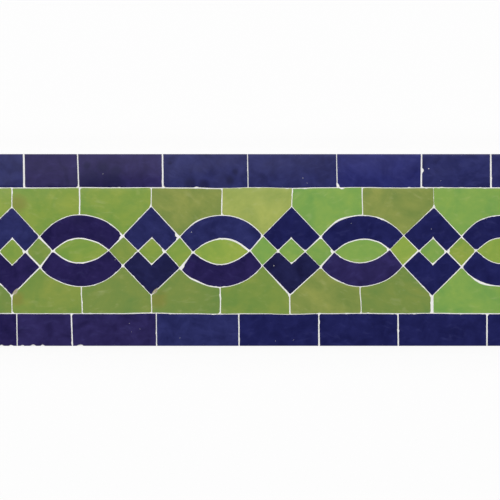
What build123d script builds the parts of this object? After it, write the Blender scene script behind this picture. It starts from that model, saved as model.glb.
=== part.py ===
from build123d import *
import os
from itertools import cycle
from math import cos, radians, sqrt, tan

# Mosaic border panel for a pool's waterline: hand-cut glazed clay pieces set in a cast cement bed.
# A navy ribbon of chevrons and arches runs along the panel, crossing itself at small green squares.
# Green field pieces fill in above and below it, and a row of navy edge tiles closes each long side.
#
# Frame, in millimetres: the panel lies face up on z = 0, which is the back of its bed. X runs along
# the border, Y across it, and the origin is the middle of the back. Sizes of the pattern are taken
# between the middles of the joints, so each piece is smaller than its place by half a joint all round.

# Pattern along the border
REPEAT_LENGTH = 114.3      # one diamond and one almond, joint to joint: 4 1/2 inches
REPEATS = 4                # four repeats make an 18 inch panel
CROSSING_SIDE = 17.4       # green square where the ribbon crosses itself: the ribbon's straight width
INNER_SIDE = 15.4          # green square inside each diamond
LENS_RISE = 10.6           # middle line to the crown of the lens
LENS_TIP = 38.0            # degrees: each side of the lens leaves its tips straight, this far off the middle line
ARCH_WIDTH = 18.3          # ribbon's width at the crown of an arch

# Pattern across the border
FIELD_WIDTH = 102.5        # between the two rows of edge tiles
UPPER_EDGE_WIDTH = 27.5    # joint's middle to the panel's long side
LOWER_EDGE_WIDTH = 26.3

# Edge tiles were cut as they came, so their lengths differ. Each row is laid from the left end,
# starting its list again when it runs out, and the last tile is cut to the panel's end.
UPPER_EDGE_LENGTHS = (33.7, 44.1, 68.9, 69.4, 72.5, 68.9, 56.6, 68.0)
LOWER_EDGE_LENGTHS = (28.0, 44.7, 68.9, 67.2, 65.2, 64.6, 72.3, 68.0)

# Joints and depth
JOINT = 0.7                # grout between the pieces of the pattern
EDGE_JOINT = 1.2           # grout between one edge tile and the next
TILE_THICKNESS = 9.5       # 3/8 inch clay
BED_THICKNESS = 6.5        # cement behind the pieces
GROUT_RECESS = 0.6         # grout stands this far below the glazed faces
BACK_CUT = 8.0             # degrees: the chisel undercuts each side, so the back is smaller than the face

# Places that follow from those sizes
FACE_HEIGHT = BED_THICKNESS + TILE_THICKNESS
PANEL_LENGTH = REPEATS * REPEAT_LENGTH - JOINT
PANEL_WIDTH = FIELD_WIDTH + UPPER_EDGE_WIDTH + LOWER_EDGE_WIDTH
PATTERN_START = -REPEATS * REPEAT_LENGTH / 2
PATTERN_MIDDLE = (LOWER_EDGE_WIDTH - UPPER_EDGE_WIDTH) / 2
FIELD_HALF = FIELD_WIDTH / 2
CROSSING_HALF = CROSSING_SIDE / sqrt(2)
INNER_HALF = INNER_SIDE / sqrt(2)
DIAMOND_TO_CROSSING = INNER_HALF + CROSSING_HALF
DIAMOND_HALF = INNER_HALF + 2 * CROSSING_HALF
CROSSING_TO_CROWN = REPEAT_LENGTH / 2 - DIAMOND_TO_CROSSING
LENS_HALF = CROSSING_TO_CROWN - CROSSING_HALF
CROWN_HEIGHT = LENS_RISE + ARCH_WIDTH
SAW_ALLOWANCE = TILE_THICKNESS         # edge tiles run this far past the panel until the saw trims them
SHORTEST_EDGE_TILE = TILE_THICKNESS    # the chisel can't cut a piece shorter than the clay is thick


# Outlines of the upper pieces, between the middles of the joints
def diamond_outline(half):
    return make_face(Polyline((half, 0), (0, half), (-half, 0), (0, -half), close=True))


def chevron_outline():
    """Two straight lengths of ribbon that meet at the top of a diamond, about the diamond's middle."""
    right = [(DIAMOND_TO_CROSSING, CROSSING_HALF), (INNER_HALF, 0)]
    left = [(-x, y) for x, y in reversed(right)]
    return make_face(Polyline((0, DIAMOND_HALF), *right, (0, INNER_HALF), *left, close=True))


def lens_side():
    """Upper side of the lens from tip to tip: straight at both ends, with a round crown between."""
    peak = LENS_HALF * tan(radians(LENS_TIP))
    crown_radius = (peak - LENS_RISE) / (1 / cos(radians(LENS_TIP)) - 1)
    return FilletPolyline((-LENS_HALF, 0), (0, peak), (LENS_HALF, 0), radius=crown_radius)


def lens_outline():
    return make_face([lens_side(), mirror(lens_side(), about=Plane.XZ)])


def arch_outline():
    """A curved length of ribbon with its ends cut along the crossing squares, about the lens's middle."""
    outer_end = (CROSSING_TO_CROWN, CROSSING_HALF)
    outer_start = (-CROSSING_TO_CROWN, CROSSING_HALF)
    return make_face([
        ThreePointArc(outer_start, (0, CROWN_HEIGHT), outer_end),
        Line(outer_end, (LENS_HALF, 0)),
        lens_side(),
        Line((-LENS_HALF, 0), outer_start),
    ])


def field_outline():
    """Ground between a diamond's right flank and the next arch, about the diamond's middle."""
    apex = (0, DIAMOND_HALF)
    crown = (REPEAT_LENGTH / 2, CROWN_HEIGHT)
    crossing_top = (DIAMOND_TO_CROSSING, CROSSING_HALF)
    return make_face([
        Polyline(crossing_top, apex, (0, FIELD_HALF), (REPEAT_LENGTH / 2, FIELD_HALF), crown),
        TangentArc(crown, crossing_top, tangent=(-1, 0)),
    ])


def edge_outline(start, end, width):
    """One edge tile from joint to joint, with its outer side left long for the saw."""
    length = end - start - EDGE_JOINT + JOINT
    height = width + SAW_ALLOWANCE
    return Pos((start + end) / 2, FIELD_HALF + height / 2) * Rectangle(length, height)


# Solids
def cut_piece(outline):
    """Shrinks an outline by half a joint, cuts it from the clay and undercuts its sides below the glaze."""
    glaze = Pos(0, 0, FACE_HEIGHT) * offset(outline, amount=-JOINT / 2, kind=Kind.INTERSECTION)
    blank = extrude(glaze, amount=-TILE_THICKNESS)
    sides = blank.faces().filter_by(Axis.Z, reverse=True)
    return draft(sides, Plane.XY.offset(FACE_HEIGHT), -BACK_CUT)


def slab(bottom, top):
    """The panel's rectangle between two heights."""
    return Pos(0, 0, (bottom + top) / 2) * Box(PANEL_LENGTH, PANEL_WIDTH, top - bottom)


SAWN_PANEL = slab(0, FACE_HEIGHT)


def set_at(piece, x, below=False):
    """Lays a piece along the border, or its mirror image below the middle line, and saws it to the panel."""
    laid = mirror(piece, about=Plane.XZ) if below else piece
    return SAWN_PANEL & (Pos(x, PATTERN_MIDDLE, 0) * laid)


def edge_row(lengths, width):
    """The tiles of one row of edges, left to right, as if above the pattern."""
    row_end = PATTERN_START + REPEATS * REPEAT_LENGTH
    start = PATTERN_START - SAW_ALLOWANCE
    end = PATTERN_START
    row = []
    for length in cycle(lengths):
        end += length
        last = end > row_end - SHORTEST_EDGE_TILE
        row.append(cut_piece(edge_outline(start, row_end + SAW_ALLOWANCE if last else end, width)))
        start = end
        if last:
            return row


def mosaic_pieces():
    """Every glazed piece by name, the like ones numbered from the left."""
    chevron = cut_piece(chevron_outline())
    arch = cut_piece(arch_outline())
    field = cut_piece(field_outline())
    lens = cut_piece(lens_outline())
    inner_square = cut_piece(diamond_outline(INNER_HALF))
    crossing_square = cut_piece(diamond_outline(CROSSING_HALF))
    field_pair = (mirror(field, about=Plane.YZ), field)

    # The fifth diamond is past the panel's end, where only the field tile on its left is kept.
    diamonds = [PATTERN_START + DIAMOND_TO_CROSSING + n * REPEAT_LENGTH for n in range(REPEATS + 1)]
    whole_diamonds = diamonds[:-1]
    lens_middles = [x + REPEAT_LENGTH / 2 for x in whole_diamonds]
    crossings = [x - DIAMOND_TO_CROSSING for x in diamonds] + [x + DIAMOND_TO_CROSSING for x in whole_diamonds]

    rows = {}
    for side, below, edge_width, edge_lengths in (
        ("upper", False, UPPER_EDGE_WIDTH, UPPER_EDGE_LENGTHS),
        ("lower", True, LOWER_EDGE_WIDTH, LOWER_EDGE_LENGTHS),
    ):
        ground = [set_at(piece, x, below) for x in diamonds for piece in field_pair]
        rows[f"{side}_field_tile"] = ground[:-1]
        rows[f"{side}_chevron"] = [set_at(chevron, x, below) for x in whole_diamonds]
        rows[f"{side}_arch"] = [set_at(arch, x, below) for x in lens_middles]
        rows[f"{side}_edge_tile"] = [set_at(tile, 0, below) for tile in edge_row(edge_lengths, edge_width)]
    rows["inner_square"] = [set_at(inner_square, x) for x in whole_diamonds]

    pieces = {f"{kind}_{n}": piece for kind, row in rows.items() for n, piece in enumerate(row, start=1)}
    pieces["crossing_squares"] = Compound([set_at(crossing_square, x).solid() for x in sorted(crossings)])
    pieces["lenses"] = Compound([set_at(lens, x).solid() for x in lens_middles])
    return pieces


def cement_bed(pieces):
    """One pour of white cement: the slab behind the pieces and the grout that stands between them."""
    glazed = [solid for piece in pieces.values() for solid in piece.solids()]
    return slab(0, FACE_HEIGHT - GROUT_RECESS) - glazed


mosaic = mosaic_pieces()
os.makedirs("parts", exist_ok=True)
for name, piece in {**mosaic, "cement_bed": cement_bed(mosaic)}.items():
    export_step(piece, f"parts/{name}.step")
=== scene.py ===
import math
import random
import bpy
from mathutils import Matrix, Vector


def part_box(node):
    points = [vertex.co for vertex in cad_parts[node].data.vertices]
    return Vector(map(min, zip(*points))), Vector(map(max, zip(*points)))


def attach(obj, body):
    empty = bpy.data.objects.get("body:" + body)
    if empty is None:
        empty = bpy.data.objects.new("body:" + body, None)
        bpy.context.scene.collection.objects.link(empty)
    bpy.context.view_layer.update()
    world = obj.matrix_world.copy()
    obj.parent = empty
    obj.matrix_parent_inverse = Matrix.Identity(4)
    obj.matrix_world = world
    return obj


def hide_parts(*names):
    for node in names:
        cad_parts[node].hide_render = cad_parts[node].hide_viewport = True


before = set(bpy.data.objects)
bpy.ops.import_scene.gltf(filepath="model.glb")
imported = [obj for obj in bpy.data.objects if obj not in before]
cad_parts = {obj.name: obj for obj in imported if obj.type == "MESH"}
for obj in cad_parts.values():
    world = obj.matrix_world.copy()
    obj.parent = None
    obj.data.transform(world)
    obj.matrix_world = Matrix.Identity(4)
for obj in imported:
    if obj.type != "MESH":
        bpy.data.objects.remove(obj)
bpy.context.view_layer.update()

from types import SimpleNamespace

import bmesh
import bpy
import numpy as np
from mathutils import Quaternion, Vector, noise
from mathutils.geometry import delaunay_2d_cdt

# Mosaic waterline panel. Each glazed piece is cut by hand from its CAD outline: chiselled sides, nipped
# corners, a broken glaze edge and a slightly wavy face. The cement bed is then poured round those pieces.
# Lengths are in millimetres in the CAD frame, and each mesh is scaled to metres when it is made.
MM = 0.001


def corners_mm(node):
    """Lowest and highest corner of a CAD node."""
    low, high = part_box(node)
    return np.array(low) / MM, np.array(high) / MM


PANEL_LOW, PANEL_HIGH = corners_mm("cement_bed")
CLAY_BACK = corners_mm("inner_square_1")[0][2]
FACE = corners_mm("inner_square_1")[1][2]
RIM_TOUCH = 0.02           # a point this near a face or the panel's rim is on it

# How the pieces are cut and laid
POINT_STEP = 0.8           # between points along an outline
CORNER_TURN = math.radians(14)  # an outline that turns by more than this has a corner there
NUDGE = 0.06               # each piece sits up to this far off its place
TWIST = math.radians(0.1)
TILT = math.radians(0.22)
TRIMS = (-0.17, 0.02)      # each end of a side is cut this much short, or long below 0
SAME_WAY = 0.8             # cosine between a side and the way that it is said to face
CHISEL_FINE = 0.05         # unevenness of a chiselled side
CHISEL_FINE_WAVE = 2.4
CHISEL_BROAD = 0.06
CHISEL_BROAD_WAVE = 9.0
CORNER_NIPS = (0.2, 0.9)   # clay lost at a corner that was nipped
CORNER_WEAR = 0.1          # and at one that wasn't
CORNER_REACH = 1.6
NIPPED_SHARE = 0.45        # of all corners
SIDE_NIPS = (0.1, 0.4)     # small bites along a side
SIDE_NIP_REACHES = (1.2, 2.4)
SIDE_NIP_EVERY = 40.0
SIDE_HOLLOW = 0.3          # chiselled sides are hollow half-way down
SIDE_HOLLOW_WAVE = 3.0
FACE_WAVE = 14.0           # the glazed face isn't flat
FACE_WAVE_DEPTH = 0.03
FACE_RIPPLE = 5.0
FACE_RIPPLE_DEPTH = 0.004

# Each piece has its own part of the noise, for its shape and its glaze. Steps keep its patterns apart.
SEEDS = (0, 200)
LOTS = (0, 40)
BROAD_SEED, RIPPLE_SEED, HOLLOW_SEED = 50, 20, 90

# Edge of the glaze, broken by the chisel, from the face to the arris: how far in from the outline and how
# far down. A spall goes deeper in and down by these shares of its depth.
BROKEN_EDGE = ((0.55, 0.0), (0.2, 0.01), (0.07, 0.04), (0.0, 0.12))
SPALL_SHARES = ((1.0, 0.0), (0.8, 0.25), (0.45, 0.5), (0.0, 0.7))
SAWN_EDGE_SHARE = 0.4      # the panel's sawn rim has a sharper edge
BARE_AT = 0.3              # a spall this deep shows bare clay
SHARP_EDGE = math.radians(48)  # edges that turn by more than this aren't shaded smooth

# Grout, wiped level with the arrises and hollow between them
GROUT_BELOW_ARRIS = 0.03
GROUT_HOLLOW = 0.12
GROUT_GRAIN = 0.07
GROUT_GRAIN_WAVE = 1.6
JOINT_HALF = 0.35
GROUT_POINT_GAP = 0.5
GROUT_CLEAR = 0.14         # between a grout point and an arris
GROUT_MARGIN = 0.4         # between a grout point and the panel's rim

# Points that fill a glazed face or the bed's back lie in offset rows, a little off their places
FACE_POINT_STEP = 1.9
FACE_POINT_CLEAR = 0.45 * FACE_POINT_STEP
BACK_POINT_STEP = 12.0
BACK_MARGIN = 6.0          # between those points and the panel's rim
ROW_SHARE = 0.87           # of a step between rows
JITTER = 0.2               # share of a step
SAME_POINT = 1e-5          # points this close would count as one


def undercut():
    """How much smaller the CAD pieces are at the back than at the face, on each side."""
    points = np.array([vertex.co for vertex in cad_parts["inner_square_1"].data.vertices]) / MM
    at_face = points[points[:, 2] > FACE - RIM_TOUCH]
    at_back = points[points[:, 2] < CLAY_BACK + RIM_TOUCH]
    return (np.ptp(at_face[:, 0]) - np.ptp(at_back[:, 0])) / 2 / math.sqrt(2)


UNDERCUT = undercut()

# Damage on the face, by node: x, y, reach and depth
# Nips are filled with grout. Spalls show bare clay. Nicks in the sawn rim are smeared with cement.
NIPS = {
    "upper_chevron_2": [(-69.6, 11.4, 3.8, 2.0)],
    "lower_arch_2": [(-66.6, -12.8, 3.4, 1.3)],
    "upper_arch_1": [(-115.9, 11.4, 3.2, 1.4)],
    "crossing_squares": [(-192.6, -1.4, 2.6, 0.9), (57.6, -0.6, 3.2, 2.1), (149.4, -0.8, 3.2, 1.7)],
    "inner_square_1": [(-194.4, -1.4, 2.6, 1.2)],
    "inner_square_2": [(-80.9, -0.6, 2.6, 1.2)],
    "inner_square_4": [(126.9, 0.0, 2.4, 0.9)],
    "lenses": [(102.7, 0.6, 2.6, 1.0)],
    "lower_field_tile_4": [(-55.6, -24.4, 11.0, 0.7)],
    "lower_field_tile_6": [(58.0, -24.0, 9.0, 0.45)],
    "lower_field_tile_8": [(178.4, -24.8, 13.0, 1.3)],
    "upper_field_tile_4": [(-56.5, 24.6, 10.0, 0.4)],
    "upper_field_tile_6": [(64.2, 50.2, 2.8, 1.1), (61.0, 25.8, 13.0, 0.7)],
    "upper_field_tile_7": [(97.6, 25.6, 10.0, 0.45)],
    "upper_edge_tile_6": [(60.4, 51.8, 3.2, 1.5)],
    "upper_edge_tile_7": [(130.0, 64.8, 2.6, 1.5)],
    "upper_edge_tile_4": [(-54.3, 51.6, 2.4, 0.9)],
}
SPALLS = {
    "lower_chevron_1": [(-202.4, -33.4, 4.2, 0.7)],
    "lower_chevron_2": [(-88.1, -33.4, 4.2, 0.7)],
    "lower_field_tile_2": [(-201.8, -34.8, 3.2, 0.5)],
    "lower_field_tile_4": [(-87.5, -34.8, 3.2, 0.5)],
}
LOWER_RIM = -78.2          # y at which the rim was struck
RIM_NICKS = {
    "lower_edge_tile_1": [(-212.8, LOWER_RIM, 1.8, 0.8), (-205.0, LOWER_RIM, 2.0, 0.6)],
    "lower_edge_tile_2": [
        (-187.5, LOWER_RIM, 2.6, 0.9), (-179.6, LOWER_RIM, 2.0, 0.8), (-196.4, LOWER_RIM, 1.6, 0.5)],
    "lower_edge_tile_3": [(-149.2, LOWER_RIM, 3.4, 0.8)],
}
# Upright joints from left to right: their widths, and how far their upper ends lean to the right
JOINT_WIDTHS = {
    "upper_edge_tile": (1.4, 0.8, 1.3, 0.6, 0.5, 1.2, 1.2),
    "lower_edge_tile": (0.6, 1.0, 0.6, 0.9, 1.1, 1.0, 1.0),
    "upper_field_tile": (0.8, 1.0, 0.7, 0.75, 0.7, 0.8, 0.15, 0.7),
    "lower_field_tile": (0.7, 0.7, 0.6, 0.8, 0.9, 0.7, 2.3, 0.7),
}
JOINT_LEANS = {
    "upper_edge_tile": (-0.4, -1.0, -0.3, -0.5, -0.5, 0.3, -0.2),
    "lower_edge_tile": (-0.4, -1.0, -0.2, -0.2, -0.3, -0.2, 0.0),
}
# Sides that were cut well short, or left long, by piece: the way a side faces, and how much is lost at
# its start and at its end, going counter-clockwise round the piece
LEFT, RIGHT, UP, DOWN = (-1, 0), (1, 0), (0, 1), (0, -1)
UP_LEFT, UP_RIGHT, DOWN_LEFT, DOWN_RIGHT = (-1, 1), (1, 1), (-1, -1), (1, -1)
CUT_BACK = {
    "crossing_squares_2": [
        (DOWN_LEFT, 0.4, 0.9), (DOWN_RIGHT, 0.9, 0.0), (UP_RIGHT, 0.0, 0.95), (UP_LEFT, -0.3, 0.0)],
    "crossing_squares_3": [(UP_LEFT, 0.6, -0.1), (UP_RIGHT, -0.25, -0.25), (DOWN_LEFT, -0.25, -0.25)],
    "crossing_squares_4": [(DOWN_RIGHT, 0.2, -0.2)],
    "crossing_squares_5": [(UP_LEFT, 0.4, -0.05)],
    "crossing_squares_6": [(DOWN_RIGHT, 0.7, 0.05), (UP_LEFT, 0.4, -0.05), (DOWN_LEFT, -0.2, -0.25)],
    "crossing_squares_7": [(DOWN_RIGHT, 0.1, 0.6), (DOWN_LEFT, 0.0, -0.3)],
    "crossing_squares_8": [(DOWN_RIGHT, 0.7, 0.0), (DOWN_LEFT, 0.25, 0.25)],
    "inner_square_1": [(UP_RIGHT, 0.45, -0.05)],
    "inner_square_4": [(UP_RIGHT, 0.45, -0.05)],
    "lenses_1": [(UP, 0.1, 0.3), (DOWN, 0.4, -0.2)],
    "lenses_2": [(UP, 1.0, -0.2), (DOWN, 0.2, 0.15)],
    "lenses_3": [(UP, 0.45, 0.05)],
    "lower_arch_2": [(UP_LEFT, -0.2, 1.2)],
    "lower_chevron_1": [(DOWN_RIGHT, 0.1, 0.5)],
    "lower_chevron_2": [(DOWN_LEFT, -0.2, -0.25)],
    "lower_chevron_3": [(DOWN_LEFT, -0.1, 0.8), (UP_RIGHT, -0.25, -0.15)],
    "lower_chevron_4": [(DOWN_RIGHT, -0.05, 0.4)],
    "lower_edge_tile_5": [(RIGHT, 0.0, -0.1)],
    "lower_edge_tile_6": [(LEFT, -0.35, 0.25)],
    "lower_field_tile_4": [(UP, 0.2, 0.15)],
    "upper_chevron_4": [(UP_LEFT, 0.0, -0.35)],
    "upper_field_tile_4": [(UP, 0.1, 0.2)],
    "upper_field_tile_5": [(UP, -0.35, -0.45)],
    "upper_field_tile_7": [(RIGHT, -0.3, -0.3)],
}
# Where the layout wandered off its drawing: for a corner of each piece of a kind, left to right, how far
# it was laid to the right and up
LAID_OFF = (
    ("upper_chevron", UP, ((0.8, 0.4), (-0.2, 1.0), (0.0, 0.8), (1.8, 0.3))),
    ("lower_chevron", DOWN, ((0.7, -1.4), (0.0, -0.9), (-1.9, -1.2), (0.2, -1.8))),
    ("inner_square", UP, ((1.2, -0.8), (0.6, -0.2), (-0.4, -0.8), (1.2, -0.6))),
    ("inner_square", DOWN, ((1.0, -1.0), (0.2, -0.4), (-0.2, 0.4), (0.6, 0.0))),
    ("inner_square", LEFT, ((1.0, -1.0), (0.0, -0.2), (-0.4, 0.0), (0.2, -0.2))),
    ("inner_square", RIGHT, ((1.0, -1.2), (0.4, -0.8), (0.2, -0.8), (1.2, -0.8))),
    ("crossing_squares", UP, (
        (0.0, 0.0), (0.2, -1.0), (-0.2, -0.2), (0.0, -1.2), (-0.6, 0.0), (0.4, -1.2), (0.2, 0.0),
        (1.2, -0.8), (0.0, 0.0))),
    ("crossing_squares", DOWN, (
        (0.0, 0.0), (0.7, -1.7), (0.0, 0.4), (0.2, -2.0), (-0.8, 0.2), (0.6, -1.2), (-0.4, 0.2),
        (1.4, -1.2), (0.0, 0.0))),
    ("lenses", LEFT, ((-2.0, 0.1), (-2.1, -1.4), (-1.2, -1.2), (0.4, 0.0))),
    ("lenses", RIGHT, ((1.0, 0.6), (2.0, 0.0), (1.5, 1.2), (0.0, 0.0))),
    ("lenses", UP, ((-2.0, -0.4), (1.8, -0.6), (2.4, -1.2), (0.0, 0.0))),
    ("lenses", DOWN, ((-2.2, 0.7), (-1.2, -0.9), (-1.8, 0.8), (0.0, 0.0))),
    ("upper_arch", UP, ((-1.6, 0.4), (0.2, 0.0), (0.8, 0.0), (0.0, 0.0))),
    ("lower_arch", DOWN, ((0.2, -0.4), (-1.3, -0.8), (-1.7, -0.4), (0.0, 0.0))),
    ("upper_field_tile", UP_RIGHT, (
        (0.8, 0.0), (-1.6, 0.2), (0.0, 0.2), (0.5, -0.6), (0.7, -0.6), (0.4, 0.4), (1.5, 0.2))),
    ("lower_field_tile", DOWN_RIGHT, (
        (0.9, 0.2), (0.9, 0.0), (0.4, 0.6), (-1.1, -0.4), (-1.7, -0.6), (-0.6, 0.2), (0.2, 0.4))),
)
LAID_REACH = 9.0           # a corner that was laid off pulls its neighbours along this far
LAID_STIFF = 0.15          # the drawing's own pull, against 1 at such a corner
SLANTING = 0.6             # a slanting side faces this much both across and along the panel
# Domed faces, which their sheen shows: how much the slope across the panel changes in a millimetre
DOMED = {"upper_edge_tile_3": 0.0008}
# Pinholes in the glaze that the grout has filled flush: x, y, radius
PINHOLES = {
    "upper_edge_tile_3": [(-130.5, 62.0, 0.2)],
    "upper_edge_tile_5": [(32.4, 58.7, 0.24), (35.7, 54.6, 0.24)],
    "upper_edge_tile_7": [(134.8, 66.4, 0.4), (144.7, 56.4, 0.16)],
    "upper_arch_2": [(-58.4, 14.6, 0.31)],
    "lower_chevron_3": [(8.8, -12.8, 0.34)],
    "upper_chevron_4": [(137.0, 17.0, 0.22)],
    "upper_arch_3": [(71.7, 21.6, 0.18)],
    "lower_arch_1": [(-120.7, -7.8, 0.24)],
    "lower_edge_tile_3": [(-108.9, -59.8, 0.26), (-100.4, -64.3, 0.2), (-107.3, -66.8, 0.13)],
    "lower_edge_tile_4": [(-67.8, -71.7, 0.18)],
    "lower_edge_tile_5": [(10.0, -74.1, 0.17), (24.7, -73.3, 0.2)],
}
PINHOLE_POINTS = 8
PINHOLE_SQUASH = 0.8       # pinholes aren't quite round
PINHOLE_RING = np.array([
    (math.cos(angle), PINHOLE_SQUASH * math.sin(angle))
    for angle in np.linspace(0, math.tau, PINHOLE_POINTS + 1)[:-1]])
# Stains in the glaze, brown from iron in the green, and in the navy dark patches of painted shade where
# the overhead lamp's sheen breaks off on the uneven glaze: x, y, reach
STAINS_AND_PAINTED_SHADE = {
    "upper_field_tile_2": [(-200.0, 38.0, 13.0)],
    "lower_field_tile_2": [(-200.5, -40.0, 11.0)],
    "lower_field_tile_4": [(-85.5, -40.0, 13.0)],
    "upper_edge_tile_3": [
        (-130.5, 67.0, 11.0), (-120.5, 63.5, 9.0), (-141.0, 56.0, 20.0), (-124.0, 55.0, 20.0),
        (-143.5, 68.5, 6.0)],
    "upper_edge_tile_4": [
        (-60.0, 54.0, 8.6), (-48.0, 53.0, 8.6), (-23.0, 63.6, 5.0), (-27.0, 57.0, 6.6),
        (-75.9, 70.9, 3.5)],
}
# Grout tinted by clay dust from the spalls: x, y, reach
DUSTED_GROUT = [(-201.9, -34.0, 4.4), (-87.6, -34.0, 4.4)]

# Shade of each piece, by kind, left to right: greens, then navies
SHADES = {
    "upper_field_tile": "leaf leaf leaf olive straw grass olive grass leaf",
    "lower_field_tile": "moss fern moss moss fern olive moss grass moss",
    "inner_square": "leaf leaf grass grass",
    "crossing_squares": "leaf fern fern leaf grass grass lime leaf grass",
    "lenses": "leaf lime grass lime",
    "upper_edge_tile": "cobalt ink indigo cobalt cobalt lapis cobalt cobalt",
    "lower_edge_tile": "ink indigo indigo cobalt royal royal royal royal",
    "upper_chevron": "cobalt cobalt royal royal",
    "lower_chevron": "ink midnight midnight royal",
    "upper_arch": "ink cobalt royal royal",
    "lower_arch": "ink ink indigo royal",
}

# Colours of each shade of glaze, where it pooled and where it ran thin
GREEN_GLAZES = {
    "moss": ("#6B8B45", "#879648"),
    "fern": ("#729244", "#8E9E48"),
    "olive": ("#798E46", "#99A152"),
    "leaf": ("#779B44", "#98A948"),
    "grass": ("#73A14F", "#8FAF51"),
    "lime": ("#80A246", "#9EB24C"),
    "straw": ("#94A654", "#B0B960"),
}
NAVY_GLAZES = {
    "ink": ("#171042", "#2A2158"),
    "indigo": ("#1F1848", "#312A60"),
    "cobalt": ("#191C4E", "#2D3169"),
    "lapis": ("#1B1E5C", "#2E3276"),
    "royal": ("#0F1247", "#1F225C"),
    "midnight": ("#11123C", "#212352"),
}
# For each hue, the colours of its pale wisps and stains, and the size of its clouds in millimetres.
# The navy's dark colour is painted shade, for where the overhead lamp's sheen breaks off.
GLAZE_TRAITS = {"green": ("#C2C8A0", "#88883F", 24.0), "navy": ("#4C4E84", "#0C0E38", 14.0)}
# Darker and paler patches of clay and cement, and the floor
FIRED_CLAY = ("#A1977A", "#C6BD9F")
WHITE_CEMENT = ("#ECEBE4", "#F8F7F3")
WHITE_PAPER = "#F4F4F2"

# Sizes of the patterns in the finishes, in millimetres
STREAK_WIDTH = 4.2         # streaks in which the glaze ran
SMUDGE = 11.0              # duller patches of glaze
ORANGE_PEEL = 2.2
ORANGE_PEEL_DEPTH = 0.02
SPALLED_CLAY = 1.4         # lumps where clay broke
CLAY_PATCH = 7.0
CLAY_GRIT = 0.9            # drawn coarser than real grit, which wouldn't show
CLAY_GRIT_DEPTH = 0.25
CEMENT_BLOTCH = 14.0
CEMENT_SAND = 0.6          # drawn coarser than real sand, which wouldn't show
CEMENT_SAND_DEPTH = 0.1

# How strongly those patterns show
STREAK_STRETCH = 2.4       # streaks are this much longer than wide
STREAK_SLOPE = 0.6         # radians: the most that they slope, which differs by piece
STREAK_TONE = 0.35         # what they add to or take from the clouds and stains
KILN_SPREAD = 0.03         # a piece is this much lighter or darker by its place in the kiln
# Most of a noise lies between these values
NOISE_SPREAD = {"From Min": 0.3, "From Max": 0.7}
# Where wisps come in along a streak, and stains and painted shade by their depth, and the most that they
# hide
PALE_WISPS = {"From Min": 0.58, "From Max": 0.85, "To Max": 0.22}
GLAZE_STAINS_AND_SHADE = {"From Min": 0.25, "From Max": 0.85, "To Max": 0.65}

# What a glaze reads at each point: its part of the noise, its place in the kiln, bare clay, and stains
# with painted shade
GLAZE_FACTS = ("lot", "kiln", "bare", "stain_and_shade")


def linear(hex_colour):
    """An sRGB hex colour as the linear colour that a shader takes."""
    channels = [int(hex_colour[i:i + 2], 16) / 255 for i in (1, 3, 5)]
    return [*(c / 12.92 if c <= 0.04045 else ((c + 0.055) / 1.055) ** 2.4 for c in channels), 1.0]


def add(tree, kind, inputs=None, **settings):
    """Adds one node with its settings, and sets or links its inputs. A Mix node has its share at 0, its
    colours at 6 and 7 with output 2, or its values at 2 and 3 with output 0."""
    made = tree.nodes.new(kind)
    for name, value in settings.items():
        setattr(made, name, value)
    for name, value in (inputs or {}).items():
        if isinstance(value, bpy.types.NodeSocket):
            tree.links.new(value, made.inputs[name])
        else:
            made.inputs[name].default_value = value
    return made


def per_mm(size):
    """Scale of a pattern whose features are this many millimetres across."""
    return 1 / (size * MM)


def new_tree(name):
    material = bpy.data.materials.new(name)
    material.use_nodes = True
    material.node_tree.nodes.clear()
    return material, material.node_tree


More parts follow.
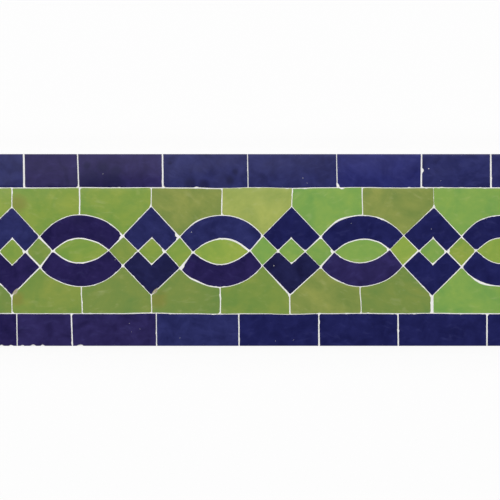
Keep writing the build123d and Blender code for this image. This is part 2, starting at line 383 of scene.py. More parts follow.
def lead_glaze(name, deep, thin, pale, stain_and_shade_colour, cloud_size):
    """Lead glaze dipped over fired clay. It pools and thins as it melts, so its colour is cloudy, with
    pale wisps the way it ran and a few stains; in the navy, dark patches of painted shade where the sheen
    breaks off. Its skin is glossy with a faint orange peel, and clay shows where an edge spalled."""
    material, tree = new_tree(name)
    where = add(tree, "ShaderNodeTexCoord").outputs["Object"]
    lot, kiln, bare, stain_and_shade = (
        add(tree, "ShaderNodeAttribute", attribute_name=fact).outputs["Fac"] for fact in GLAZE_FACTS)

    clouds = add(tree, "ShaderNodeTexNoise", {
        "Vector": where, "W": lot, "Scale": per_mm(cloud_size), "Detail": 4.0, "Roughness": 0.6,
        "Distortion": 0.7}, noise_dimensions="4D").outputs[0]
    slope = add(tree, "ShaderNodeMath", {0: kiln, 1: STREAK_SLOPE}, operation="MULTIPLY").outputs[0]
    way = add(tree, "ShaderNodeCombineXYZ", {"Z": slope}).outputs[0]
    flow = add(tree, "ShaderNodeMapping", {
        "Vector": where, "Rotation": way, "Scale": (STREAK_STRETCH, 1.0, 1.0)},
        vector_type="TEXTURE").outputs[0]
    streaks = add(tree, "ShaderNodeTexNoise", {
        "Vector": flow, "W": lot, "Scale": per_mm(STREAK_WIDTH), "Detail": 3.0, "Roughness": 0.5,
        "Distortion": 0.6}, noise_dimensions="4D").outputs[0]
    cloud_tone = add(tree, "ShaderNodeMapRange", {"Value": clouds, **NOISE_SPREAD}).outputs[0]
    run = add(tree, "ShaderNodeMapRange", {
        "Value": streaks, "To Min": -STREAK_TONE, "To Max": STREAK_TONE}).outputs[0]
    tone = add(tree, "ShaderNodeMath", {
        0: cloud_tone, 1: run}, operation="ADD", use_clamp=True).outputs[0]
    glass = add(tree, "ShaderNodeMix", {
        0: tone, 6: linear(deep), 7: linear(thin)}, data_type="RGBA").outputs[2]
    wisps = add(tree, "ShaderNodeMapRange", {"Value": streaks, **PALE_WISPS}).outputs[0]
    wispy = add(tree, "ShaderNodeMix", {0: wisps, 6: glass, 7: linear(pale)}, data_type="RGBA").outputs[2]
    firing = add(tree, "ShaderNodeMath", {
        0: kiln, 1: KILN_SPREAD, 2: 1.0}, operation="MULTIPLY_ADD").outputs[0]
    fired = add(tree, "ShaderNodeHueSaturation", {"Value": firing, "Color": wispy}).outputs[0]
    # Brown stains in the green, and in the navy dark patches of painted shade where the sheen breaks off
    ragged = add(tree, "ShaderNodeMath", {0: stain_and_shade, 1: run}, operation="ADD").outputs[0]
    tint = add(tree, "ShaderNodeMapRange", {"Value": ragged, **GLAZE_STAINS_AND_SHADE}).outputs[0]
    tinted = add(tree, "ShaderNodeMix", {
        0: tint, 6: fired, 7: linear(stain_and_shade_colour)}, data_type="RGBA").outputs[2]
    clay_tone = add(tree, "ShaderNodeTexNoise", {
        "Vector": where, "Scale": per_mm(SPALLED_CLAY), "Detail": 3.0}).outputs[0]
    clay = add(tree, "ShaderNodeMix", {
        0: clay_tone, 6: linear(FIRED_CLAY[0]), 7: linear(FIRED_CLAY[1])}, data_type="RGBA").outputs[2]
    colour = add(tree, "ShaderNodeMix", {0: bare, 6: tinted, 7: clay}, data_type="RGBA").outputs[2]

    smudge = add(tree, "ShaderNodeTexNoise", {
        "Vector": where, "W": lot, "Scale": per_mm(SMUDGE), "Detail": 3.0},
        noise_dimensions="4D").outputs[0]
    gloss = add(tree, "ShaderNodeMapRange", {
        "Value": smudge, **NOISE_SPREAD, "To Min": 0.07, "To Max": 0.15}).outputs[0]
    roughness = add(tree, "ShaderNodeMix", {0: bare, 2: gloss, 3: 0.9}).outputs[0]
    peel = add(tree, "ShaderNodeTexNoise", {
        "Vector": where, "W": lot, "Scale": per_mm(ORANGE_PEEL), "Detail": 2.0},
        noise_dimensions="4D").outputs[0]
    skin = add(tree, "ShaderNodeBump", {
        "Height": peel, "Strength": 0.25, "Distance": ORANGE_PEEL_DEPTH * MM}).outputs[0]
    shader = add(tree, "ShaderNodeBsdfPrincipled", {
        "Base Color": colour, "Roughness": roughness, "IOR": 1.5, "Normal": skin})
    add(tree, "ShaderNodeOutputMaterial", {"Surface": shader.outputs[0]})
    return material


def gritty(tree, colours, patches, grains, dullness, relief):
    """Colour, roughness and bumps of a dry surface: patches of two colours, and grains that stand out.
    Patches and grains have a size, detail and raggedness, and the relief a strength and a depth."""
    where = add(tree, "ShaderNodeTexCoord").outputs["Object"]
    broad, fine = (add(tree, "ShaderNodeTexNoise", {
        "Vector": where, "Scale": per_mm(size), "Detail": detail, "Roughness": ragged}).outputs[0]
        for size, detail, ragged in (patches, grains))
    tone = add(tree, "ShaderNodeMapRange", {"Value": broad, **NOISE_SPREAD}).outputs[0]
    colour = add(tree, "ShaderNodeMix", {
        0: tone, 6: linear(colours[0]), 7: linear(colours[1])}, data_type="RGBA").outputs[2]
    roughness = add(tree, "ShaderNodeMapRange", {
        "Value": fine, "To Min": dullness[0], "To Max": dullness[1]}).outputs[0]
    bumps = add(tree, "ShaderNodeBump", {
        "Height": fine, "Strength": relief[0], "Distance": relief[1] * MM}).outputs[0]
    return colour, roughness, bumps


def fired_clay():
    """Terracotta, sawn or chiselled after firing: dry, matt and sandy, pale buff with greyer patches."""
    material, tree = new_tree("fired_clay_chiselled")
    colour, roughness, rough_cut = gritty(
        tree, FIRED_CLAY, patches=(CLAY_PATCH, 5.0, 0.65), grains=(CLAY_GRIT, 3.0, 0.7),
        dullness=(0.8, 0.98), relief=(0.6, CLAY_GRIT_DEPTH))
    shader = add(tree, "ShaderNodeBsdfPrincipled", {
        "Base Color": colour, "Roughness": roughness, "Normal": rough_cut})
    add(tree, "ShaderNodeOutputMaterial", {"Surface": shader.outputs[0]})
    return material


def white_cement():
    """White cement with fine sand, poured and wiped: matt, nearly pure white, faintly blotchy, with sand
    grains. Clay dust tints it beside the spalls."""
    material, tree = new_tree("white_cement_wiped")
    clean, roughness, grains = gritty(
        tree, WHITE_CEMENT, patches=(CEMENT_BLOTCH, 4.0, 0.6), grains=(CEMENT_SAND, 2.0, 0.6),
        dullness=(0.75, 0.95), relief=(0.35, CEMENT_SAND_DEPTH))
    dust = add(tree, "ShaderNodeAttribute", attribute_name="dust").outputs["Fac"]
    colour = add(tree, "ShaderNodeMix", {
        0: dust, 6: clean, 7: linear(FIRED_CLAY[0])}, data_type="RGBA").outputs[2]
    shader = add(tree, "ShaderNodeBsdfPrincipled", {
        "Base Color": colour, "Roughness": roughness, "Normal": grains})
    add(tree, "ShaderNodeOutputMaterial", {"Surface": shader.outputs[0]})
    return material


CLAY = fired_clay()
CEMENT = white_cement()
GLAZES = {}
for hue, shades in (("green", GREEN_GLAZES), ("navy", NAVY_GLAZES)):
    for shade, (deep, thin) in shades.items():
        GLAZES[shade] = lead_glaze(f"{hue}_lead_glaze_{shade}", deep, thin, *GLAZE_TRAITS[hue])


def sides_of(face):
    """The sides of a face, each as its two corners in turn."""
    return zip(face, [*face[1:], face[0]])


def face_outlines(node):
    """Outlines of a node's glazed faces in the frame, counter-clockwise, the faces from left to right."""
    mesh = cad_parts[node].data
    points = [tuple(round(c / MM, 3) for c in vertex.co) for vertex in mesh.vertices]
    top = max(z for _, _, z in points)
    edges = set()
    for polygon in mesh.polygons:
        corners = [points[i] for i in polygon.vertices]
        if min(z for _, _, z in corners) == top:
            edges.update(sides_of(corners))
    following = {a[:2]: b[:2] for a, b in edges if (b, a) not in edges}
    outlines = []
    while following:
        spot = min(following)
        outline = []
        while spot in following:
            outline.append(spot)
            spot = following.pop(spot)
        outlines.append(np.array(outline))
    return sorted(outlines, key=lambda outline: outline[:, 0].mean())


def unit(vectors):
    return vectors / np.linalg.norm(vectors, axis=-1, keepdims=True)


def on_rim(points):
    """For each point, whether it is on the panel's ends and on its long sides."""
    return np.minimum(abs(points - PANEL_LOW[:2]), abs(points - PANEL_HIGH[:2])) < RIM_TOUCH


def spaced_side(run):
    """Evenly spaced points along one side of an outline, the direction out of it at each, and whether the
    side is part of the panel's sawn rim."""
    along = np.concatenate([[0], np.cumsum(np.linalg.norm(np.diff(run, axis=0), axis=1))])
    count = max(2, round(along[-1] / POINT_STEP))
    at = np.linspace(0, along[-1], count + 1)
    spots = np.stack([np.interp(at, along, run[:, axis]) for axis in (0, 1)], axis=1)
    heading = unit(np.gradient(spots, axis=0))
    outward = np.stack([heading[:, 1], -heading[:, 0]], axis=1)
    return spots, outward, bool(on_rim(spots).all(axis=0).any())


def spaced_outline(outline):
    """Evenly spaced points along an outline. Each has the direction out of the side before and after it,
    whether those sides are sawn, the corners at its side's ends and its share of the way between."""
    before = unit(outline - np.roll(outline, 1, axis=0))
    after = unit(np.roll(outline, -1, axis=0) - outline)
    turn = np.arccos(np.clip((before * after).sum(axis=1), -1, 1))
    corners = np.flatnonzero(turn > CORNER_TURN)
    closed = np.vstack([np.roll(outline, -corners[0], axis=0), outline[corners[0]]])
    ends = [*(corners - corners[0]), len(outline)]
    sides = [spaced_side(closed[start:end + 1]) for start, end in zip(ends, ends[1:])]
    spots, outwards, sawn = zip(*sides)
    counts = [len(side) - 1 for side in spots]
    starts = np.cumsum([0, *counts[:-1]])
    out_after = np.vstack([outward[:-1] for outward in outwards])
    out_before = out_after.copy()
    out_before[starts] = np.roll([outward[-1] for outward in outwards], 1, axis=0)
    sawn_after = np.repeat(sawn, counts)
    return SimpleNamespace(
        points=np.vstack([side[:-1] for side in spots]), before=out_before, after=out_after,
        sawn_before=np.roll(sawn_after, 1), sawn_after=sawn_after, corners=starts,
        corner_from=np.repeat(starts, counts), corner_to=np.repeat(np.roll(starts, -1), counts),
        share=np.concatenate([np.arange(count) / count for count in counts]))


def sides_round(cut):
    """Each side of an outline: which of its points are on it, and the way that it faces."""
    for corner in cut.corners:
        on_side = cut.corner_from == corner
        yield on_side, cut.after[on_side].mean(axis=0)


def along_side(outward):
    """The way that an outline runs, from the direction out of it."""
    return np.stack([-outward[:, 1], outward[:, 0]], axis=1)


def inward(cut, depth, sawn_depth, depth_before=None):
    """For each point of an outline, the move that sets its sides in by a depth. Corners go to where the
    sides then meet, and the points between them slide along so that they stay evenly spread. Where a
    depth changes from side to side, a corner takes depth_before on the side that ends there."""
    depth_before = np.where(cut.sawn_before, sawn_depth, depth if depth_before is None else depth_before)
    depth_after = np.where(cut.sawn_after, sawn_depth, depth)
    before, after = cut.before[cut.corners], cut.after[cut.corners]
    in_before, in_after = depth_before[cut.corners], depth_after[cut.corners]
    cross = before[:, 0] * after[:, 1] - before[:, 1] * after[:, 0]
    meeting = np.zeros_like(cut.points)
    meeting[cut.corners] = -np.stack([
        in_before * after[:, 1] - in_after * before[:, 1],
        in_after * before[:, 0] - in_before * after[:, 0]], axis=1) / cross[:, None]
    slide_from = (meeting * along_side(cut.after)).sum(axis=1)[cut.corner_from]
    slide_to = (meeting * along_side(cut.before)).sum(axis=1)[cut.corner_to]
    slide = slide_from * (1 - cut.share) + slide_to * cut.share
    move = along_side(cut.after) * slide[:, None] - cut.after * depth_after[:, None]
    move[cut.corners] = meeting[cut.corners]
    return move


def ripple(points, wave, seed):
    """Smooth unevenness from -1 to 1 at each point, with humps about this far apart."""
    return np.array([noise.noise(Vector((x / wave, y / wave, seed))) for x, y in points])


def falloff(points, x, y, reach, depth=1.0):
    """A depth at a spot, fading to 0 at its reach."""
    distance = np.linalg.norm(points - (x, y), axis=1)
    return depth * np.clip(1 - (distance / reach) ** 2, 0, 1) ** 2


def marked(points, marks):
    """How deep some marks go at each point, the deepest where they overlap."""
    return np.max([np.zeros(len(points)), *(falloff(points, *mark) for mark in marks)], axis=0)


def laid_off():
    """The corners that were laid off their drawing, and how far."""
    places, moves = [], []
    for kind, way, offs in LAID_OFF:
        nodes = [kind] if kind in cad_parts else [f"{kind}_{n}" for n in range(1, len(offs) + 1)]
        outlines = [outline for node in nodes for outline in face_outlines(node)]
        places += [outline[(outline @ way).argmax()] for outline in outlines]
        moves += offs
    return np.array(places), np.array(moves)


LAID_PLACES, LAID_MOVES = laid_off()


def wander(points):
    """How far the layout wandered off its drawing at each point."""
    distance = np.linalg.norm(points[:, None] - LAID_PLACES[None], axis=2)
    pull = np.exp(-(distance / LAID_REACH) ** 2)
    return pull @ LAID_MOVES / (pull.sum(axis=1, keepdims=True) + LAID_STIFF)


def kept_straight(cut, moves):
    """The moves of an outline's points, evened out along each slanting side so that it stays straight."""
    even = moves[cut.corner_from] * (1 - cut.share)[:, None] + moves[cut.corner_to] * cut.share[:, None]
    for on_side, facing in sides_round(cut):
        if abs(facing).min() > SLANTING:
            moves[on_side] = even[on_side]
    return moves


def bite(edge, cut, x, y, reach, depth):
    """Takes a bite out of an edge, straight in from where it was struck."""
    near = falloff(cut.laid, x, y, reach)
    struck = (cut.outward * near[:, None]).sum(axis=0)
    if near.any():
        edge -= struck / np.linalg.norm(struck) * depth * near[:, None]


def kind_and_place(name):
    """A piece's kind and its place in the row."""
    kind, _, place = name.rpartition("_")
    return kind, int(place)


def seen_trims(name):
    """How far some sides of a piece are seen to be cut back, in the form that CUT_BACK has."""
    kind, place = kind_and_place(name)
    widths = JOINT_WIDTHS.get(kind, ())
    leans = JOINT_LEANS.get(kind, [0.0] * len(widths))
    found = []
    for way, joint in ((RIGHT, place), (LEFT, place - 1)):
        if 1 <= joint <= len(widths):
            drawn = corners_mm(f"{kind}_{joint + 1}")[0][0] - corners_mm(f"{kind}_{joint}")[1][0]
            back = (widths[joint - 1] - drawn) / 2
            lean = leans[joint - 1] / 2
            found.append((way, back + lean, back - lean))
    return found + CUT_BACK.get(name, [])


def side_trims(cut, name):
    """How far each point's side is cut back there, and at a corner also the side that ends there."""
    seen = seen_trims(name)
    at_start, at_end = np.zeros(len(cut.points)), np.zeros(len(cut.points))
    for on_side, facing in sides_round(cut):
        at_start[on_side], at_end[on_side] = cut.dice.uniform(*TRIMS), cut.dice.uniform(*TRIMS)
        for way, start, end in seen:
            if facing @ unit(np.array(way)) > SAME_WAY:
                at_start[on_side], at_end[on_side] = start, end
    trim = at_start * (1 - cut.share) + at_end * cut.share
    trim_before = trim.copy()
    trim_before[cut.corners] = at_end[cut.corners - 1]
    return trim, trim_before


def laid_outline(cut, name):
    """A piece's outline as it was trimmed and laid: a little turned, shifted and off its drawing."""
    twist = cut.dice.uniform(-TWIST, TWIST)
    turn = np.array([[math.cos(twist), math.sin(twist)], [-math.sin(twist), math.cos(twist)]])
    shift = (cut.dice.uniform(-NUDGE, NUDGE), cut.dice.uniform(-NUDGE, NUDGE))
    wandered = kept_straight(cut, wander(cut.points))
    if "edge_tile" in name:
        # An edge row follows the pattern's line, but has its own joints.
        wandered *= UP
    trim, trim_before = side_trims(cut, name)
    turned = (cut.points - cut.centre) @ turn + cut.centre
    return turned + shift + wandered + inward(cut, trim, 0, trim_before)


def chiselled_edge(cut):
    """The edge of a laid piece as the chisel left it: uneven, with nipped corners and small bites."""
    chisel = (CHISEL_FINE * ripple(cut.points, CHISEL_FINE_WAVE, cut.seed)
              + CHISEL_BROAD * ripple(cut.points, CHISEL_BROAD_WAVE, cut.seed + BROAD_SEED))
    edge = cut.laid + cut.outward * (chisel * cut.chiselled)[:, None]
    for corner in cut.corners:
        nip = cut.dice.uniform(*CORNER_NIPS) if cut.dice.random() < NIPPED_SHARE else CORNER_WEAR
        if cut.chiselled[corner]:
            bite(edge, cut, *cut.laid[corner], CORNER_REACH, nip)
    for _ in range(int(len(edge) * POINT_STEP / SIDE_NIP_EVERY)):
        spot = cut.laid[cut.dice.randrange(len(edge))]
        bite(edge, cut, *spot, cut.dice.uniform(*SIDE_NIP_REACHES), cut.dice.uniform(*SIDE_NIPS))
    return edge


def cut_by_hand(node, name, outline):
    """One piece as it was chiselled and laid: its outline, and what makes its face uneven."""
    cut = spaced_outline(outline)
    cut.node = node
    cut.centre = cut.points.mean(axis=0)
    cut.dice = random.Random(f"{node} {round(cut.centre[0])}")
    cut.seed = cut.dice.uniform(*SEEDS)
    cut.outward = unit(cut.before + cut.after)
    cut.chiselled = ~(cut.sawn_before | cut.sawn_after)
    cut.laid = laid_outline(cut, name)
    rim = on_rim(cut.points)
    cut.edge = np.where(rim, cut.points, chiselled_edge(cut))
    for nip in NIPS.get(node, []):
        bite(cut.edge, cut, *nip)
    cut.back = np.where(rim, cut.points, cut.laid)
    cut.nick = marked(cut.laid, RIM_NICKS.get(node, []))
    cut.spall = marked(cut.laid, SPALLS.get(node, [])) + cut.nick
    cut.tilt = (cut.dice.uniform(-TILT, TILT), cut.dice.uniform(-TILT, TILT))
    cut.dome = DOMED.get(name, 0.0)
    cut.lot, cut.kiln = cut.dice.uniform(*LOTS), cut.dice.uniform(-1, 1)
    return cut


def face_level(cut, points):
    """Height of a piece's glazed face at each point."""
    return (FACE + (points - cut.centre) @ np.array(cut.tilt)
            - cut.dome * (points[:, 1] - cut.centre[1]) ** 2 / 2
            + FACE_WAVE_DEPTH * ripple(points, FACE_WAVE, cut.seed)
            + FACE_RIPPLE_DEPTH * ripple(points, FACE_RIPPLE, cut.seed + RIPPLE_SEED))


def raised(points, heights):
    """Points of the plan at a height, or each at its own."""
    return np.column_stack([points, np.broadcast_to(heights, len(points))])


def fill_in(points, loops):
    """Triangles between points that keep to the loops, each with the loops that it lies in."""
    corners, _, triangles, came_from, _, homes = delaunay_2d_cdt(
        [Vector(point) for point in points], [], loops, 0, SAME_POINT)
    if len(corners) != len(points):
        raise ValueError("two pieces overlap")
    return [([came_from[i][0] for i in triangle], home) for triangle, home in zip(triangles, homes)]


def lattice(low, high, step, dice):
    """Points in offset rows, each moved a little, inside a rectangle."""
    spots = []
    for row in range(int((high[1] - low[1]) / (step * ROW_SHARE)) + 1):
        for column in range(int((high[0] - low[0]) / step) + 1):
            spots.append((low[0] + (column + row % 2 / 2 + dice.uniform(-JITTER, JITTER)) * step,
                          low[1] + (row + dice.uniform(-JITTER, JITTER)) * step * ROW_SHARE))
    spots = np.array(spots)
    return spots[((spots > low) & (spots < high)).all(axis=1)]


def clear_of(spots, others, gap):
    """The spots that are more than a gap away from all others."""
    distance = np.linalg.norm(spots[:, None, :] - others[None, :, :], axis=2)
    return spots[distance.min(axis=1) > gap]


# What a face of a piece shows: glaze, clay, or cement that filled a hole or a nick
GLAZED, CLAY_SIDE, FILLED = range(3)


def edge_rings(cut):
    """Rings of points from the glazed face round the arris to the back, and how bare their glaze is."""
    rings, bare = [], []
    for (inset, drop), (spall_in, spall_down) in zip(BROKEN_EDGE, SPALL_SHARES):
        broken_in = spall_in * cut.spall
        ring = cut.edge + inward(cut, inset + broken_in, inset * SAWN_EDGE_SHARE + broken_in)
        rings.append(raised(ring, face_level(cut, ring) - drop - spall_down * cut.spall))
        bare.append(np.clip(cut.spall / BARE_AT, 0, 1) * (spall_down > 0))
    cut.arris = rings[-1]
    hollow = SIDE_HOLLOW * (0.5 + 0.5 * ripple(cut.points, SIDE_HOLLOW_WAVE, cut.seed + HOLLOW_SEED))
    half_way = (cut.edge + cut.back) / 2 + inward(cut, UNDERCUT / 2 + hollow, 0)
    cut.seat = raised(cut.back + inward(cut, UNDERCUT, 0), CLAY_BACK)
    rings += [raised(half_way, (FACE + CLAY_BACK) / 2), cut.seat]
    bare += [np.zeros(len(cut.seat))] * 2
    return rings, bare


def ring_faces(cut, ring_count):
    """Faces between each ring of a piece and the next, and what they show."""
    count = len(cut.edge)
    faces, kinds = [], []
    for level in range(ring_count - 1):
        here, below = level * count, (level + 1) * count
        for i in range(count):
            j = (i + 1) % count
            faces.append((here + i, below + i, below + j, here + j))
            if level + 1 >= len(BROKEN_EDGE):
                kinds.append(CLAY_SIDE)
            elif cut.nick[i] + cut.nick[j] > BARE_AT:
                kinds.append(FILLED)
            else:
                kinds.append(GLAZED)
    return faces, kinds


def glazed_face(cut, rim):
    """Points inside the rim of a piece's face, and the face's triangles with what they show."""
    loops = [list(range(len(rim)))]
    spots = [rim]
    for x, y, radius in PINHOLES.get(cut.node, []):
        start = sum(map(len, spots))
        spots.append((x, y) + radius * PINHOLE_RING)
        loops.append(list(range(start, start + PINHOLE_POINTS)))
    inner = lattice(rim.min(axis=0), rim.max(axis=0), FACE_POINT_STEP, cut.dice)
    spots.append(clear_of(inner, np.vstack(spots), FACE_POINT_CLEAR))
    flat = np.vstack(spots)
    triangles = [(triangle, FILLED if len(home) > 1 else GLAZED)
                 for triangle, home in fill_in(flat, loops) if 0 in home]
    return flat[len(rim):], triangles


def seat_triangles(cut):
    """Triangles that fill the back of a piece."""
    return [triangle for triangle, home in fill_in(cut.seat[:, :2], [list(range(len(cut.seat)))]) if home]


def dress(cut):
    """Mesh of one piece: rings from the glazed face to the back, then both faces filled."""
    rings, bare = edge_rings(cut)
    faces, kinds = ring_faces(cut, len(rings))
    inner, triangles = glazed_face(cut, rings[0][:, :2])
    count = len(cut.edge)
    back_start = (len(rings) - 1) * count
    for triangle, kind in triangles:
        faces.append([i if i < count else i + back_start for i in triangle])
        kinds.append(kind)
    for triangle in seat_triangles(cut):
        faces.append([back_start + i for i in reversed(triangle)])
        kinds.append(CLAY_SIDE)
    points = np.vstack([*rings, raised(inner, face_level(cut, inner))])
    return points, faces, kinds, np.concatenate([*bare, np.zeros(len(inner))])


def put(name, data):
    """Puts a new object in the scene."""
    made = bpy.data.objects.new(name, data)
    bpy.context.scene.collection.objects.link(made)
    return made


def make_piece(node, points, faces, finish_of_face, finishes, facts):
    """Makes the mesh that stands for a CAD node."""
    mesh = bpy.data.meshes.new(node)
    mesh.from_pydata((points * MM).tolist(), [], [list(map(int, face)) for face in faces])
    for finish in finishes:
        mesh.materials.append(finish)
    mesh.polygons.foreach_set("material_index", finish_of_face)
    for name, values in facts.items():
        mesh.attributes.new(name, "FLOAT", "POINT").data.foreach_set("value", values)
    work = bmesh.new()
    work.from_mesh(mesh)
    bmesh.ops.delete(work, geom=[v for v in work.verts if not v.link_faces], context="VERTS")
    bmesh.ops.recalc_face_normals(work, faces=work.faces)
    work.to_mesh(mesh)
    work.free()
    mesh.shade_smooth()
    mesh.set_sharp_from_angle(angle=SHARP_EDGE)
    piece = put(f"{node}_dressed", mesh)
    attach(piece, "root")
    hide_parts(node)


def shade_of(name):
    """Shade of a piece's glaze."""
    kind, place = kind_and_place(name)
    return SHADES[kind].split()[place - 1]


def make_glazed(node):
    """Cuts and dresses every piece of a node."""
    outlines = face_outlines(node)
    names = [node] if len(outlines) == 1 else [f"{node}_{n}" for n in range(1, len(outlines) + 1)]
    cuts = [cut_by_hand(node, name, outline) for name, outline in zip(names, outlines)]
    shades = [shade_of(name) for name in names]
    finishes = [CLAY, CEMENT, *(GLAZES[shade] for shade in dict.fromkeys(shades))]
    all_points, all_faces, all_finishes = [], [], []
    facts = {fact: [] for fact in GLAZE_FACTS}
    for cut, shade in zip(cuts, shades):
        points, faces, kinds, bare = dress(cut)
        start = sum(map(len, all_points))
        finish = {GLAZED: finishes.index(GLAZES[shade]), CLAY_SIDE: 0, FILLED: 1}
        all_points.append(points)
        all_faces += [[start + i for i in face] for face in faces]
        all_finishes += [finish[kind] for kind in kinds]
        lot, kiln = (np.full(len(points), value) for value in (cut.lot, cut.kiln))
        # Brown stains in the green; in the navy, painted shade where the overhead lamp's sheen breaks off
        stain_and_shade = marked(points[:, :2], STAINS_AND_PAINTED_SHADE.get(node, []))
        for fact, values in zip(GLAZE_FACTS, (lot, kiln, bare, stain_and_shade)):
            facts[fact].extend(values)
    make_piece(node, np.vstack(all_points), all_faces, all_finishes, finishes, facts)
    return cuts


def grout_cell(spot):
    """The cell of a fine square grid that a spot lies in."""
    return int(spot[0] // GROUT_POINT_GAP), int(spot[1] // GROUT_POINT_GAP)


def near_in(cells, spot):
    """What a dictionary of cells holds in a spot's own cell and in the eight round it."""
    column, row = grout_cell(spot)
    round_it = [(column + a, row + b) for a in (-1, 0, 1) for b in (-1, 0, 1)]
    return [cells[cell] for cell in round_it if cell in cells]


def grout_spots(cuts):
    """Spots along the middles of the joints, with the height of the grout there."""
    low, high = PANEL_LOW[:2] + GROUT_MARGIN, PANEL_HIGH[:2] - GROUT_MARGIN
    taken = {}
    spots, heights = [], []
    for cut in cuts:
        for i in np.flatnonzero(cut.chiselled):
            spot = cut.arris[i, :2] + cut.outward[i] * JOINT_HALF
            if not ((low < spot) & (spot < high)).all():
                continue
            if any(math.dist(spot, other) < GROUT_POINT_GAP for other in near_in(taken, spot)):
                continue
            taken[grout_cell(spot)] = spot
            spots.append(spot)
            grain = GROUT_GRAIN * noise.noise(Vector((*spot, 0)) / GROUT_GRAIN_WAVE)
            heights.append(cut.arris[i, 2] - GROUT_HOLLOW + grain)
    return np.array(spots), np.array(heights)


def clear_of_arrises(spots, arrises):
    """For each grout spot, whether it is clear of every arris."""
    cells = {}
    for arris in arrises:
        cells.setdefault(grout_cell(arris), []).append(arris)
    return np.array([
        not any(math.dist(spot, arris) < GROUT_CLEAR for cell in near_in(cells, spot) for arris in cell)
        for spot in spots])


def sawn_sides(faces, total):
    """Faces from the open edge of the poured ones down to the bed's back, and the points of that edge.
    The points at their feet are numbered on from the total."""
    uses = {}
    for face in faces:
        for side in sides_of(face):
            uses.setdefault(frozenset(side), []).append(side)
    below = {}
    skirt = []
    for sides in uses.values():
        if len(sides) == 1:
            a, b = sides[0]
            for spot in (a, b):
                below.setdefault(spot, total + len(below))
            skirt.append((b, a, below[a], below[b]))
    return skirt, list(below)


def pour_bed(cuts):
    """The cement round and behind the pieces, as one closed mesh: grout, pockets, sawn sides and back."""
    arrises = np.vstack([cut.arris for cut in cuts])
    spots, spot_heights = grout_spots(cuts)
    clear = clear_of_arrises(spots, arrises[:, :2])
    flat = np.vstack([arrises[:, :2], spots[clear]])
    heights = np.concatenate([arrises[:, 2] - GROUT_BELOW_ARRIS, spot_heights[clear]])
    starts = np.cumsum([0] + [len(cut.arris) for cut in cuts])
    loops = [list(range(a, b)) for a, b in zip(starts, starts[1:])]
    faces = [triangle for triangle, home in fill_in(flat, loops) if not home]
    grouted = {frozenset(side) for face in faces for side in sides_of(face)}
    total = len(flat)
    for cut, loop in zip(cuts, loops):
        count = len(loop)
        for i in range(count):
            j = (i + 1) % count
            if frozenset((loop[i], loop[j])) in grouted:
                faces.append((loop[i], loop[j], total + j, total + i))
        faces += [[total + i for i in triangle] for triangle in seat_triangles(cut)]
        total += count
    poured = np.vstack([raised(flat, heights), *(cut.seat for cut in cuts)])

    skirt, open_edge = sawn_sides(faces, total)
    feet = poured[open_edge] * (1, 1, 0)
    middle = lattice(PANEL_LOW[:2] + BACK_MARGIN, PANEL_HIGH[:2] - BACK_MARGIN, BACK_POINT_STEP,
                     random.Random("back of the bed"))
    faces += skirt
    for triangle, _ in fill_in(np.vstack([feet[:, :2], middle]), []):
        faces.append([total + i for i in reversed(triangle)])
    points = np.vstack([poured, feet, raised(middle, 0)])
    dust = marked(points[:, :2], DUSTED_GROUT)
    make_piece("cement_bed", points, faces, [0] * len(faces), [CEMENT], {"dust": dust})


all_cuts = []
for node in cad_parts:
    if node != "cement_bed":
        all_cuts += make_glazed(node)
pour_bed(all_cuts)

# Camera: straight above, with the photograph's framing. The photograph is square, one repeat of the
# pattern spans REPEAT_PIXELS of it, and the panel's middle is at MIDDLE_PIXEL across it.
PHOTO_PIXELS = 500
REPEAT_PIXELS = 140.3
MIDDLE_PIXEL = 263.2
CAMERA_HEIGHT = 1600.0
VIEW_END = 100.0           # metres
first_square, second_square = (corners_mm(f"inner_square_{n}")[0][0] for n in (1, 2))
pixel = (second_square - first_square) / REPEAT_PIXELS
view_middle = (PHOTO_PIXELS / 2 - MIDDLE_PIXEL) * pixel
camera = put("camera", bpy.data.cameras.new("camera"))
camera.data.sensor_fit = "HORIZONTAL"
camera.data.angle = 2 * math.atan(PHOTO_PIXELS * pixel / 2 / CAMERA_HEIGHT)
camera.data.clip_end = VIEW_END
camera.location = Vector((view_middle, 0, FACE + CAMERA_HEIGHT)) * MM
bpy.context.scene.camera = camera

# Lamps, in metres and watts: four alike round the panel, and a cool one overhead for the glaze's sheen.
# The world adds a little even light, and the camera sees it as white.
SOFTBOX_PLACES = {"left": (-1.3, 0.2), "right": (1.3, 0.2), "near": (0.0, -1.3), "far": (0.1, 1.4)}
SOFTBOX_HEIGHT = 1.25
SOFTBOX_SIZE = (1.0, 0.8)
SOFTBOX_WATTS = 9.6
OVERHEAD_PLACE = (-0.3, 0.59)
OVERHEAD_HEIGHT = 1.75
OVERHEAD_SIZE = (1.7, 0.95)
OVERHEAD_WATTS = 4.2
OVERHEAD_TINT = (0.76, 0.74, 1.0)
OVERHEAD_TURN = math.radians(5)
WORLD_LIGHT = 0.16


def softbox(name, place, aim, size, watts, tint=(1, 1, 1), turn=0.0):
    """A rectangular lamp in metres, turned towards a point and about its own axis, that no view shows."""
    lamp = put(name, bpy.data.lights.new(name, "AREA"))
    lamp.data.shape = "RECTANGLE"
    lamp.data.size, lamp.data.size_y = size
    lamp.data.energy = watts
    lamp.location = place
    lamp.data.color = tint
    towards = (Vector(aim) - Vector(place)).to_track_quat("-Z", "Y")
    lamp.rotation_euler = (towards @ Quaternion((0, 0, 1), turn)).to_euler()
    lamp.visible_camera = False


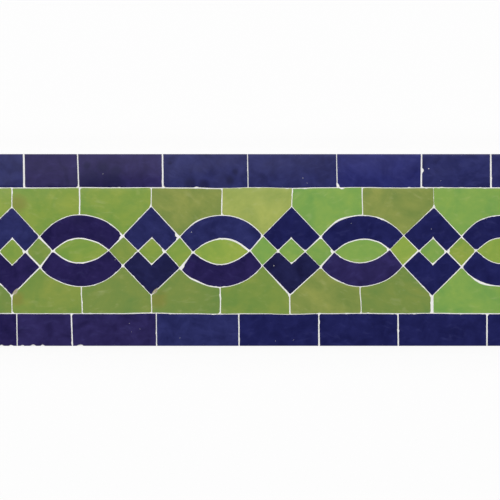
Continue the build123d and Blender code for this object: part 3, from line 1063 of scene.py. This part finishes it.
for side, (x, y) in SOFTBOX_PLACES.items():
    softbox(f"softbox_{side}", (x, y, SOFTBOX_HEIGHT), (0, 0, 0), SOFTBOX_SIZE, SOFTBOX_WATTS)
softbox("softbox_overhead", (*OVERHEAD_PLACE, OVERHEAD_HEIGHT), (*OVERHEAD_PLACE, 0), OVERHEAD_SIZE,
        OVERHEAD_WATTS, OVERHEAD_TINT, OVERHEAD_TURN)

world = bpy.data.worlds.new("studio")
world.use_nodes = True
world.node_tree.nodes.clear()
seen = add(world.node_tree, "ShaderNodeLightPath").outputs["Is Camera Ray"]
dim = add(world.node_tree, "ShaderNodeMix", {0: seen, 2: WORLD_LIGHT, 3: 1.0}).outputs[0]
sky = add(world.node_tree, "ShaderNodeBackground", {"Strength": dim})
add(world.node_tree, "ShaderNodeOutputWorld", {"Surface": sky.outputs[0]})
bpy.context.scene.world = world

# Pale floor, which keeps the shadow
FLOOR_HALF = 12.0          # metres
FLOOR_CORNERS = ((-1, -1), (1, -1), (1, 1), (-1, 1))
FLOOR_DROP = 0.2           # millimetres below the panel's back, so that they don't share a plane
PAPER_GLOW = 0.9           # share of plain white that the camera and reflections see


def pale_floor():
    """Matt white paper. The camera and reflections see it mostly as plain white, with a faint shadow."""
    material, tree = new_tree("white_paper_matt")
    path = add(tree, "ShaderNodeLightPath").outputs
    seen = path["Is Camera Ray"]
    for ray in ("Is Glossy Ray", "Is Transmission Ray"):
        seen = add(tree, "ShaderNodeMath", {0: seen, 1: path[ray]}, operation="MAXIMUM").outputs[0]
    share = add(tree, "ShaderNodeMath", {0: seen, 1: PAPER_GLOW}, operation="MULTIPLY").outputs[0]
    paper = add(tree, "ShaderNodeBsdfDiffuse", {"Color": linear(WHITE_PAPER)}).outputs[0]
    white = add(tree, "ShaderNodeEmission", {"Strength": 1.0}).outputs[0]
    both = add(tree, "ShaderNodeMixShader", {0: share, 1: paper, 2: white}).outputs[0]
    add(tree, "ShaderNodeOutputMaterial", {"Surface": both})
    return material


floor_mesh = bpy.data.meshes.new("floor")
floor_mesh.from_pydata(
    [(x * FLOOR_HALF, y * FLOOR_HALF, -FLOOR_DROP * MM) for x, y in FLOOR_CORNERS], [], [(0, 1, 2, 3)])
floor_mesh.materials.append(pale_floor())
floor = put("floor", floor_mesh)

bpy.context.scene.view_settings.view_transform = "Standard"
